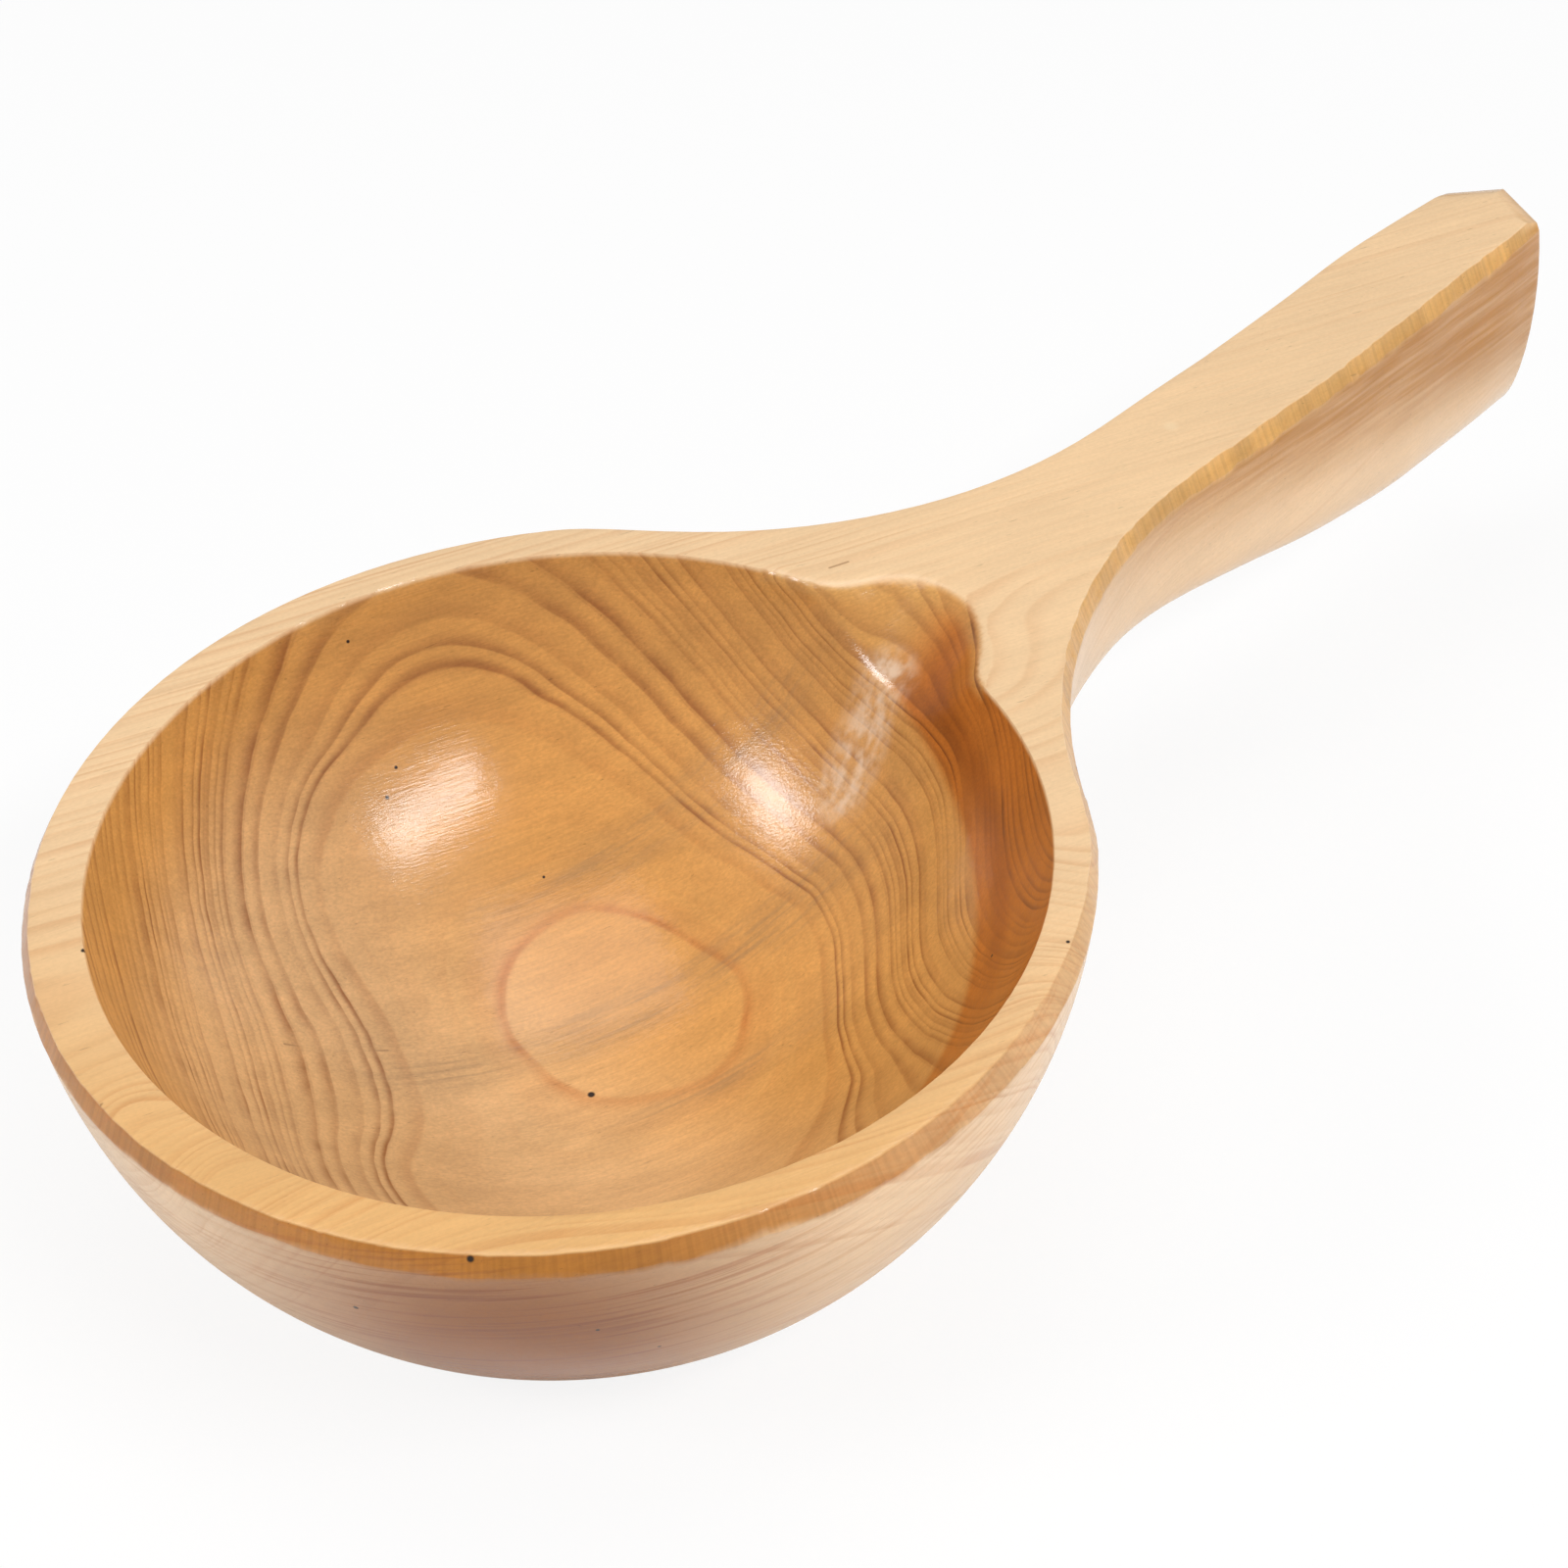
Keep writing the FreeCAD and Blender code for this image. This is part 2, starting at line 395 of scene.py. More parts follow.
        calm = add_node(tree, "MapRange", SMOOTH,
                        {"Value": leaning, "From Min": self.calm_radius[0], "From Max": self.calm_radius[1],
                         "To Min": self.waviness * 2, "To Max": self.waviness * 0.7})
        wavy = add_node(tree, "Math", MULTIPLY_ADD, {0: centred, 1: calm, 2: leaning})
        return wavy.outputs[0]

    def strong_rings(self, tree: Tree, radius: Socket) -> Socket:
        """Draws the few dark growth lines that stand out, each soft inside and sharp outside.

        Args:
            tree: Node tree of the material.
            radius: Distance from the pith, in mm.

        Returns:
            Darkness of the line, 0 to 1.
        """
        first = self.rings[0].radius - self.rings[0].fade
        last = self.rings[-1].radius + self.ring_edge
        spread = add_node(tree, "MapRange", None, {"Value": radius, "From Min": first, "From Max": last})
        ramp = add_node(tree, "ValToRGB", None, {0: spread})
        stops = [(ring.radius + shift, level) for ring in self.rings
                 for shift, level in ((-ring.fade, 0.0), (0.0, ring.darkness), (self.ring_edge, 0.0))]
        elements = ramp.color_ramp.elements
        elements[0].position, elements[0].color = 0.0, (0, 0, 0, 1)
        elements[1].position, elements[1].color = 1.0, (0, 0, 0, 1)
        for place, level in stops[1:-1]:
            stop = elements.new((place - first) / (last - first))
            stop.color = (level, level, level, 1)
        sharp = add_node(tree, "Math", POWER, {0: ramp, 1: 1.5})
        return sharp.outputs[0]

    def fine_rings(self, tree: Tree, radius: Socket) -> Socket:
        """Draws the year's lines between them, each year of its own darkness.

        Args:
            tree: Node tree of the material.
            radius: Distance from the pith, in mm.

        Returns:
            Darkness of the line, 0 to 1.
        """
        slow = add_node(tree, "TexNoise", ONE_WAY, {"W": radius, "Scale": 0.22, "Detail": 2})
        uneven = add_node(tree, "Math", MULTIPLY_ADD, {0: slow, 1: self.year_change, 2: radius})
        year = add_node(tree, "Math", {"operation": "DIVIDE"}, {0: uneven, 1: self.fine_ring_width})
        part = add_node(tree, "Math", {"operation": "FRACT"}, {0: year})
        late = self.late_part
        rise = add_node(tree, "MapRange", SMOOTH, {"Value": part, "From Min": 0.15, "From Max": late})
        fall = add_node(tree, "MapRange", SMOOTH, {"Value": part, "From Min": late, "From Max": 1.0,
                                                   "To Min": 1, "To Max": 0})
        slope = add_node(tree, "Math", POWER, {0: rise, 1: 1.7})
        line = add_node(tree, "Math", MULTIPLY, {0: slope, 1: fall})
        which = add_node(tree, "Math", {"operation": "FLOOR"}, {0: year})
        chance = add_node(tree, "TexWhiteNoise", ONE_WAY, {"W": which})
        own = add_node(tree, "MapRange", None, {"Value": chance, "To Min": 0.25, "To Max": 1.0})
        drawn = add_node(tree, "Math", MULTIPLY, {0: line, 1: own})
        return drawn.outputs[0]

    def threads(self, tree: Tree, grain: Socket, flank: Socket) -> Socket:
        """Draws the growth layers that run level round the bowl's outer wall.

        Args:
            tree: Node tree of the material.
            grain: Place in the grain's frame, in mm.
            flank: Share of the outer wall.

        Returns:
            Darkness of the layer's line, 0 to 1.
        """
        level = add_node(tree, "VectorMath", DOT_PRODUCT, {0: grain, 1: (-0.10, 0.0, 1.0)})
        layers = add_node(tree, "VectorMath", MULTIPLY, {0: grain, 1: (1, 1, 0)})
        layers = add_node(tree, "VectorMath", MULTIPLY_ADD,
                          {0: level.outputs["Value"], 1: (0, 0, 1), 2: layers})
        lines = Fade(self.fibres(tree, layers.outputs[0], (45, 30, 0.8)), 0.48, 0.64)
        return overlap(tree, (lines, flank))

    def fibres(self, tree: Tree, grain: Socket, streak: Place) -> Socket:
        """Draws streaks along the grain.

        Args:
            tree: Node tree of the material.
            grain: Place in the grain's frame, in mm.
            streak: Length, width and height of a streak, in mm.

        Returns:
            Streaks, 0 to 1, 0.5 on average.
        """
        stretched = add_node(tree, "VectorMath", MULTIPLY, {0: grain, 1: [1 / size for size in streak]})
        streaks = add_node(tree, "TexNoise", None, {"Vector": stretched, "Scale": 1, "Detail": 3})
        return streaks.outputs[0]

    def zones(self, tree: Tree, place: Socket, rim_centre: Place, rim_up: Place) -> Shares:
        """Works out how much each part of the ladle takes part at each place.

        Args:
            tree: Node tree of the material.
            place: Place in the piece, in mm.
            rim_centre: Middle of the rim's flat top, in mm.
            rim_up: Direction straight up from that flat top.

        Returns:
            Shares of the parts "inside", "flank", "edge", "heart", "core", "gold", "pale", "under" and
            "grip" by name, with "ahead", which is the place's distance towards the handle in mm.
        """
        carved, strength, band, notch = (
            add_node(tree, "Attribute", {"attribute_name": name}).outputs["Fac"]
            for name in ("carved", "edge_strength", "edge_width", "notch"))
        plain = add_node(tree, "Math", SUBTRACT, {0: 1.0, 1: carved}).outputs[0]
        ahead, across, _ = add_node(tree, "SeparateXYZ", None, {0: place}).outputs
        from_rim = add_node(tree, "VectorMath", SUBTRACT, {0: rim_centre, 1: place})
        depth = add_node(tree, "VectorMath", DOT_PRODUCT, {0: from_rim, 1: rim_up}).outputs["Value"]
        ragged = add_node(tree, "TexNoise", None, {"Vector": place, "Scale": 0.16, "Detail": 3})
        border = add_node(tree, "Math", MULTIPLY_ADD, {0: ragged, 1: 2.4, 2: band})
        past_band = add_node(tree, "Math", SUBTRACT, {0: depth, 1: border}).outputs[0]
        to_near, height = (
            add_node(tree, "VectorMath", DOT_PRODUCT, {0: place, 1: direction}).outputs["Value"]
            for direction in ((-0.75, -0.66, 0), (0, -0.3, 1)))
        below = add_node(tree, "VectorMath", DISTANCE, {0: place, 1: (-50, -45, 27)}).outputs["Value"]
        to_tip = add_node(tree, "Math", MULTIPLY_ADD, {0: ahead, 1: -0.22, 2: depth}).outputs[0]
        full_band = overlap(tree, (plain, Fade(depth, 0.02, 0.3), Fade(past_band, 0.9, -0.7), strength))
        lip = overlap(tree, (notch, Fade(depth, 0.05, 0.5), Fade(depth, 2.6, 0.8, 0.5)))
        hollow, wall = Fade(depth, 0.05, 0.8), Fade(depth, 0.05, 0.4)
        rules = {
            "inside": (carved, hollow),
            "flank": (plain, wall),
            "heart": (carved, hollow, Fade(height, 45.0, 47.4), Fade(ahead, 2, 16), Fade(across, 3, -7)),
            "core": (carved, Fade(height, 48.0, 51.2, 0.5), Fade(height, 56.0, 52.2), Fade(ahead, 20, 45),
                     Fade(across, -3, -10)),
            "gold": (Fade(to_near, -8, 64),),
            "pale": (carved, hollow, Fade(ahead, 25, -15), Fade(depth, 5.0, 26.0)),
            # under: painted shade on the bowl's near lower outer wall, darkest round one point below it.
            "under": (plain, wall, Fade(below, 50, 8)),
            # grip: painted shade on the handle's side just below its top edge, stronger towards the tip.
            "grip": (plain, Fade(depth, 0.3, 2.0), Fade(to_tip, -8.0, -28.0), Fade(ahead, 70, 105))}
        shares = {name: overlap(tree, rule) for name, rule in rules.items()}
        shares["edge"] = add_node(tree, "Math", {"operation": "MAXIMUM"}, {0: full_band, 1: lip}).outputs[0]
        shares["ahead"] = ahead
        return shares

    def bare_wood(self, tree: Tree, place: Socket, shares: Shares) -> Socket:
        """Lays down the wood's own colours, each in its part of the ladle, with painted shade under the
        bowl's near side and below the handle's top edge.

        Args:
            tree: Node tree of the material.
            place: Place in the piece, in mm.
            shares: Share of each part of the ladle by name.

        Returns:
            Colour of the wood without its lines.
        """
        # Painted shade below the handle's top edge, broken up by grain streaks.
        streaks = add_node(tree, "MapRange", None,
                           {"Value": self.fibres(tree, place, (20, 2.5, 1.0)), "From Min": 0.3,
                            "From Max": 0.65, "To Min": 0.68})
        grip = add_node(tree, "Math", MULTIPLY, {0: shares["grip"], 1: streaks})
        ahead = shares["ahead"]
        on_handle = add_node(tree, "MapRange", None, {"Value": ahead, "From Min": 5, "From Max": 60})
        edge_colour = add_node(tree, "Mix", COLOUR,
                               {0: on_handle, 6: linear(self.edge_wood), 7: linear(self.handle_edge)})
        heart = add_node(tree, "Math", MULTIPLY, {0: shares["heart"], 1: 0.85})
        wood = linear(self.sapwood)
        for share, colour in (
                (shares["gold"], linear(self.golden_rim)), (shares["inside"], linear(self.carved_wood)),
                (shares["pale"], linear(self.carved_pale)), (shares["flank"], linear(self.side_wood)),
                (grip, linear(self.handle_side_shade)), (shares["under"], linear(self.under_shade)),
                (heart, linear(self.heartwood)), (shares["core"], linear(self.heart_core)),
                (shares["edge"], edge_colour.outputs[2])):
            wood = add_node(tree, "Mix", COLOUR, {0: share, 6: wood, 7: colour}).outputs[2]
        return wood

    def with_lines(self, tree: Tree, wood: Socket, radius: Socket, grain: Socket, shares: Shares) -> Socket:
        """Draws the growth lines on the bare wood, stronger where it is carved hollow, fading in and out.

        Args:
            tree: Node tree of the material.
            wood: Colour of the bare wood.
            radius: Distance from the pith, in mm.
            grain: Place in the grain's frame, in mm.
            shares: Share of each part of the ladle by name.

        Returns:
            Colour with the growth lines.
        """
        deep = add_node(tree, "MapRange", SMOOTH, {"Value": radius, "From Min": 77, "From Max": 81})
        floor_colour = add_node(tree, "Mix", COLOUR,
                                {0: deep, 6: linear(self.carved_line), 7: linear(self.floor_line)})
        carved = add_node(tree, "Mix", COLOUR,
                          {0: shares["heart"], 6: floor_colour.outputs[2], 7: linear(self.heart_line)})
        # In the painted shade under the bowl's near side, the lines on the outside take a darker colour too.
        outer = add_node(tree, "Mix", COLOUR,
                         {0: shares["under"], 6: linear(self.late_line), 7: linear(self.carved_line)})
        colour = add_node(tree, "Mix", COLOUR,
                          {0: shares["inside"], 6: outer.outputs[2], 7: carved.outputs[2]})
        ahead = add_node(tree, "MapRange", None,
                         {"Value": shares["ahead"], "From Min": 40, "From Max": 120})
        fading = add_node(tree, "MapRange", SMOOTH,
                          {"Value": self.fibres(tree, grain, (26, 9, 9)), "From Min": 0.36,
                           "From Max": 0.62, "To Min": 0.45, "To Max": 1.0})
        for line, strength in ((self.fine_rings(tree, radius), self.fine_lines),
                               (self.strong_rings(tree, radius), self.strong_lines),
                               (self.threads(tree, grain, shares["flank"]), self.thread_lines)):
            outside = add_node(tree, "MapRange", None,
                               {"Value": ahead, "To Min": strength.outside, "To Max": strength.handle})
            # Lines grow or fade in the painted shade under the bowl's near side.
            outside = add_node(tree, "Math", {"operation": "MULTIPLY_ADD", "use_clamp": True},
                               {0: shares["under"], 1: strength.under, 2: outside})
            inside = add_node(tree, "MapRange", None,
                              {"Value": deep, "To Min": strength.wall, "To Max": strength.floor})
            share = add_node(tree, "Mix", NUMBER, {0: shares["inside"], 2: outside, 3: inside})
            drawn = overlap(tree, (line, share.outputs[0], fading.outputs[0]))
            wood = add_node(tree, "Mix", COLOUR, {0: drawn, 6: wood, 7: colour.outputs[2]}).outputs[2]
        return wood

    def with_tones(self, tree: Tree, wood: Socket, grain: Socket, shares: Shares) -> Socket:
        """Lightens and darkens the wood with its fibres, its clouds and the knife's facets and ticks.

        Args:
            tree: Node tree of the material.
            wood: Colour of the wood with its lines.
            grain: Place in the grain's frame, in mm.
            shares: Share of each part of the ladle by name.

        Returns:
            Colour with its light and dark tones.
        """
        facet, along = (add_node(tree, "Attribute", {"attribute_name": name}).outputs["Fac"]
                        for name in ("facet", "along"))
        ticks = add_node(tree, "TexNoise", ONE_WAY, {"W": along, "Scale": 1.3, "Detail": 1})
        on_edge = []
        for value, low, high, dark, light in ((facet, 0, 1, 0.88, 1.08), (ticks, 0.35, 0.6, 0.90, 1.03)):
            tone = add_node(tree, "MapRange", None, {"Value": value, "From Min": low, "From Max": high,
                                                     "To Min": dark, "To Max": light})
            on_edge.append(add_node(tree, "Mix", NUMBER, {0: shares["edge"], 2: 1.0, 3: tone}))
        brightness = add_node(tree, "Math", MULTIPLY, {0: on_edge[0], 1: on_edge[1]})
        inside = add_node(tree, "MapRange", None, {"Value": shares["inside"], "To Min": 0.45, "To Max": 1.0})
        for layer in self.tones:
            tone = add_node(tree, "MapRange", SMOOTH,
                            {"Value": self.fibres(tree, grain, layer.streak), "From Min": 0.3,
                             "From Max": 0.7, "To Min": layer.darkest, "To Max": layer.lightest})
            part = add_node(tree, "Mix", NUMBER, {0: inside, 2: 1.0, 3: tone})
            brightness = add_node(tree, "Math", MULTIPLY, {0: brightness, 1: part})
        pores = add_node(tree, "MapRange", SMOOTH,
                         {"Value": self.fibres(tree, grain, (3.2, 0.4, 0.4)), "From Min": 0.68,
                          "From Max": 0.76, "To Min": 1.0, "To Max": 0.72})
        brightness = add_node(tree, "Math", MULTIPLY, {0: brightness, 1: pores})
        return add_node(tree, "VectorMath", SCALE, {0: wood, "Scale": brightness}).outputs[0]

    def with_stains(self, tree: Tree, wood: Socket, grain: Socket, inside: Socket) -> Socket:
        """Adds the grey stains that follow the grain in the hollow.

        Args:
            tree: Node tree of the material.
            wood: Colour of the wood.
            grain: Place in the grain's frame, in mm.
            inside: Share of the hollow.

        Returns:
            Colour with its stains.
        """
        along, across, _ = add_node(tree, "SeparateXYZ", None, {0: grain}).outputs
        streaky = add_node(tree, "MapRange", SMOOTH,
                           {"Value": self.fibres(tree, grain, (12, 0.8, 9)), "From Min": 0.42,
                            "From Max": 0.70, "To Min": 0.22}).outputs[0]
        for stain in self.stains:
            off = add_node(tree, "Math", SUBTRACT, {0: across, 1: stain.middle})
            off = add_node(tree, "Math", {"operation": "ABSOLUTE"}, {0: off}).outputs[0]
            share = overlap(tree, (streaky, inside, Fade(off, stain.width, 0, 0.40),
                                   Fade(along, stain.start, stain.start + self.stain_fade),
                                   Fade(along, stain.end, stain.end - self.stain_fade)))
            wood = add_node(tree, "Mix", COLOUR, {0: share, 6: wood, 7: linear(self.stain)}).outputs[2]
        return wood

    def with_marks(self, tree: Tree, wood: Socket, place: Socket) -> Socket:
        """Adds the few small marks, a painted highlight streak down the notch, and the dark specks.

        Args:
            tree: Node tree of the material.
            wood: Colour of the wood.
            place: Place in the piece, in mm.

        Returns:
            Colour with its marks.
        """
        # Patches that break up the painted highlight streak.
        patchy_parts = add_node(tree, "MapRange", SMOOTH,
                             {"Value": self.fibres(tree, place, (2.4, 1.6, 3.0)), "From Min": 0.3,
                              "From Max": 0.7, "To Min": 0.12}).outputs[0]
        for mark in self.marks:
            run = Vector(mark.end) - Vector(mark.start)
            from_start = add_node(tree, "VectorMath", SUBTRACT, {0: place, 1: mark.start})
            part = add_node(tree, "VectorMath", DOT_PRODUCT, {0: from_start, 1: run / run.length_squared})
            held = add_node(tree, "Clamp", None, {"Value": part.outputs["Value"]})
            nearest = add_node(tree, "VectorMath", SCALE, {0: run, "Scale": held})
            away = add_node(tree, "VectorMath", DISTANCE, {0: from_start, 1: nearest}).outputs["Value"]
            shape = Fade(away, mark.width * 1.5, mark.width * 0.3, mark.strength)
            share = overlap(tree, (shape, patchy_parts) if mark.patchy else (shape,))
            wood = add_node(tree, "Mix", COLOUR, {0: share, 6: wood, 7: linear(mark.colour)}).outputs[2]
        for speck in self.specks:
            away = add_node(tree, "VectorMath", DISTANCE, {0: place, 1: speck.place}).outputs["Value"]
            share = overlap(tree, (Fade(away, speck.radius * 1.15, speck.radius * 0.6),))
            wood = add_node(tree, "Mix", COLOUR, {0: share, 6: wood, 7: linear(self.speck)}).outputs[2]
        return wood

    def build(self, rim_centre: Place, rim_up: Place) -> bpy.types.Material:
        """Makes the material from its rings, fibres, marks and clear coat.

        Args:
            rim_centre: Middle of the rim's flat top, in mm.
            rim_up: Direction straight up from that flat top.

        Returns:
            The finished material.
        """
        material = bpy.data.materials.new(self.name)
        material.use_nodes = True
        tree = material.node_tree
        tree.nodes.clear()
        metres = add_node(tree, "TexCoord").outputs["Object"]
        place = add_node(tree, "VectorMath", SCALE, {0: metres, "Scale": 1 / MM}).outputs[0]
        shares = self.zones(tree, place, rim_centre, rim_up)
        grain = self.grain_frame(tree, place)
        radius = self.ring_radius(tree, place, grain)
        wood = self.bare_wood(tree, place, shares)
        wood = self.with_lines(tree, wood, radius, grain, shares)
        wood = self.with_tones(tree, wood, grain, shares)
        wood = self.with_stains(tree, wood, grain, shares["inside"])
        wood = self.with_marks(tree, wood, place)
        fine = self.fibres(tree, grain, (9, 0.28, 0.28))
        pores = add_node(tree, "Bump", None, {"Strength": 0.5, "Distance": 0.05 * MM, "Height": fine})
        dips = add_node(tree, "TexNoise", None, {"Vector": place, "Scale": 0.35, "Detail": 3})
        lacquer = add_node(tree, "Bump", None,
                           {"Strength": 0.35, "Distance": 0.12 * MM, "Height": dips, "Normal": pores})
        rough = add_node(tree, "MapRange", None,
                         {"Value": fine, "From Min": 0.3, "From Max": 0.7,
                          "To Min": self.wood_roughness[0], "To Max": self.wood_roughness[1]})
        shader = add_node(tree, "BsdfPrincipled", None,
                          {"Base Color": wood, "Roughness": rough, "IOR": self.ior,
                           "Specular IOR Level": self.wood_shine, "Coat Weight": self.coat,
                           "Coat Roughness": self.coat_roughness, "Coat IOR": self.ior,
                           "Normal": pores, "Coat Normal": lacquer})
        add_node(tree, "OutputMaterial", None, {"Surface": shader})
        return material


@dataclass
class Ladle:
    """The one carved piece: bowl, pouring notch and handle. Lengths in mm.

    The rim's frame starts at the middle of the rim's flat top, with X to the handle's end and Z up from
    that flat top.
    """

    # How finely the solid is meshed again, how often it is sanded, and how soft its edges get.
    detail: int = 8
    polish: int = 30
    soft_edge: float = 0.45
    hard_angle: float = math.radians(24)

    rim_centre: Place = (1.3104, -0.6, 51.5)
    rim_slope: float = math.radians(3.2)
    bowl_radius: float = 71.0
    hollow_radius: float = 67.76
    hollow_centre: Place = (0.07, -0.6, 73.72)
    bevel_drop: float = 2.4
    notch_middle: Span = (58.0, 2.0)
    notch_reach: float = 21.0
    neck_start: float = 55.0

    # The knife's facets: how long they are, how deep, how tilted, and how much deeper in their middle.
    bowl_facet: Span = (5.0, 13.0)
    handle_facet: Span = (3.2, 6.0)
    facet_depth: float = 0.20
    facet_tilt: float = 0.11
    facet_dip: float = 0.13
    deepest_cut: float = 0.5

    # The worn rim: its deepest chip, and the angle round the bowl where the chips are, in degrees.
    chip_depth: float = 0.45
    chip_angle: float = 72.0
    chip_spread: float = 14.0
    finish: LacqueredPine = field(default_factory=LacqueredPine)

    def rim_up(self) -> Place:
        """Gives the direction straight up from the rim's flat top."""
        return (-math.sin(self.rim_slope), 0.0, math.cos(self.rim_slope))

    def rim_frame(self, points: np.ndarray) -> np.ndarray:
        """Turns places into the rim's frame.

        Args:
            points: Places in mm, one a row.

        Returns:
            The same places in the rim's frame.
        """
        along = np.array([math.cos(self.rim_slope), 0, math.sin(self.rim_slope)])
        from_rim = points - np.array(self.rim_centre)
        return np.stack([from_rim @ along, from_rim[:, 1], from_rim @ np.array(self.rim_up())], axis=1)

    def places(self, piece: bpy.types.Object) -> np.ndarray:
        """Reads the piece's points, in mm."""
        flat = np.empty(len(piece.data.vertices) * 3)
        piece.data.vertices.foreach_get("co", flat)
        return flat.reshape(-1, 3) / MM

    def move(self, piece: bpy.types.Object, points: np.ndarray) -> None:
        """Puts the piece's points at new places, in mm."""
        piece.data.vertices.foreach_set("co", (points * MM).ravel())
        piece.data.update()

    def at_notch(self, rim: np.ndarray) -> np.ndarray:
        """Tells which points lie on the notch or its edge, from their places in the rim's frame."""
        off = rim[:, :2] - np.array(self.notch_middle)
        return np.hypot(off[:, 0], off[:, 1]) < self.notch_reach

    def is_carved(self, points: np.ndarray) -> np.ndarray:
        """Tells which points lie in the hollow or the notch, or close to them.

        Args:
            points: Places in mm.

        Returns:
            One truth value a point.
        """
        margin, notch_floor = 1.5, -22
        rim = self.rim_frame(points)
        away = np.linalg.norm(points - np.array(self.hollow_centre), axis=1)
        return (away < self.hollow_radius + margin) | (self.at_notch(rim) & (rim[:, 2] > notch_floor))

    def hard_edges(self, piece: bpy.types.Object) -> np.ndarray:
        """Finds the points on the piece's hard edges.

        Args:
            piece: Piece that is looked at.

        Returns:
            One truth value a point.
        """
        form = bmesh.new()
        form.from_mesh(piece.data)
        found = np.zeros(len(form.verts), bool)
        for edge in form.edges:
            if edge.calc_face_angle(0) > self.hard_angle:
                found[[v.index for v in edge.verts]] = True
        form.free()
        return found

    def polish_faces(self, piece: bpy.types.Object, low: np.ndarray, high: np.ndarray) -> None:
        """Evens out the faces between the hard edges and rounds the notch's edge, as sanding does.

        Every second pass gives back what the one before it took, so that the form doesn't shrink.

        Args:
            piece: Piece that is polished.
            low: Lowest corner of the solid's box in mm, which the piece stays in.
            high: Highest corner of that box.
        """
        take, give_back = 0.5, -0.51
        points = self.places(piece)
        free = ~self.hard_edges(piece) | self.at_notch(self.rim_frame(points))
        ends = np.empty(len(piece.data.edges) * 2, int)
        piece.data.edges.foreach_get("vertices", ends)
        a, b = ends.reshape(-1, 2).T
        size = len(points)
        count = np.bincount(a, minlength=size) + np.bincount(b, minlength=size)
        for step in range(self.polish * 2):
            total = np.stack([np.bincount(a, points[b, axis], size) + np.bincount(b, points[a, axis], size)
                              for axis in range(3)], axis=1)
            pull = (total / count[:, None] - points) * free[:, None]
            points = points + pull * (take if step % 2 == 0 else give_back)
        self.move(piece, np.clip(points, low, high))

    def along_edge(self, rim: np.ndarray) -> np.ndarray:
        """Works out how far along the outer edge each point lies.

        The count runs from the handle's left end round the bowl to the handle's right end.

        Args:
            rim: Places in the rim's frame.

        Returns:
            Distance in mm.
        """
        left_start, right_start = 100, 345
        round_bowl = np.arctan2(rim[:, 1], rim[:, 0]) % (2 * math.pi) * self.bowl_radius
        on_handle = np.where(rim[:, 1] > 0, left_start - rim[:, 0], right_start + rim[:, 0])
        return np.where(rim[:, 0] > self.neck_start, on_handle, round_bowl)

    def facets(self) -> tuple[np.ndarray, np.ndarray, np.ndarray]:
        """Lays out the knife's facets round the outer edge.

        Returns:
            Where each facet starts along the edge, how deep it is and how it tilts, in mm.
        """
        chance = np.random.default_rng(11)
        starts = [-150.0]
        while starts[-1] < 600:
            facet = self.bowl_facet if -10 < starts[-1] < 400 else self.handle_facet
            starts.append(starts[-1] + chance.uniform(*facet))
        depth = chance.uniform(0.0, self.facet_depth, len(starts))
        return np.array(starts), depth, chance.uniform(-self.facet_tilt, self.facet_tilt, len(starts))

    def cut_depth(self, rim: np.ndarray) -> tuple[np.ndarray, np.ndarray]:
        """Works out how deep the knife went at each point, and how light its facet looks.

        Args:
            rim: Places in the rim's frame.

        Returns:
            Depth in mm, and lightness from 0 to 1.
        """
        far_share, bowl_share, last_cut, fade = 0.05, 0.6, 203, 8
        starts, depth, tilt = self.facets()
        s = self.along_edge(rim)
        cell = np.clip(np.searchsorted(starts, s) - 1, 0, len(starts) - 2)
        across = (s - starts[cell]) / (starts[cell + 1] - starts[cell]) * 2 - 1
        cut = depth[cell] + tilt[cell] * across + self.facet_dip * (1 - across ** 2)
        cut = np.clip(cut, 0, self.deepest_cut)
        far_side, bowl = (rim[:, 1] > 6) & (rim[:, 0] > -50), rim[:, 0] < self.neck_start
        cut *= np.where(far_side, far_share, 1.0) * np.where(bowl, bowl_share, 1.0)
        cut *= np.clip((last_cut - rim[:, 0]) / fade, 0, 1)
        return cut, depth[cell] / self.facet_depth

    def knife_cuts(self, piece: bpy.types.Object) -> None:
        """Cuts the bevel's short flat facets, each a little deeper in its middle.

        Args:
            piece: Piece that is cut.
        """
        inner_radius, near, clear = 67.5, 0.5, 0.4
        points = self.places(piece)
        rim = self.rim_frame(points)
        outer = ~self.is_carved(points) & (np.hypot(rim[:, 0], rim[:, 1]) > inner_radius)
        corner = self.hard_edges(piece)
        top = outer & corner & (rim[:, 2] > -near)
        low = outer & corner & (np.abs(rim[:, 2] + self.bevel_drop) < near)
        middle = outer & ~corner & (rim[:, 2] < -clear) & (rim[:, 2] > clear - self.bevel_drop)
        cut, _ = self.cut_depth(rim)
        normals = np.empty(len(points) * 3)
        piece.data.vertices.foreach_get("normal", normals)
        side = normals.reshape(-1, 3) * (1, 1, 0)
        side /= np.linalg.norm(side, axis=1, keepdims=True) + 1e-9
        points -= side * (np.where(top, 1.1, 0) + np.where(middle, 0.9, 0))[:, None] * cut[:, None]
        points[:, 2] -= (np.where(low, 2.2, 0) + np.where(middle, 0.5, 0)) * cut
        self.move(piece, points)

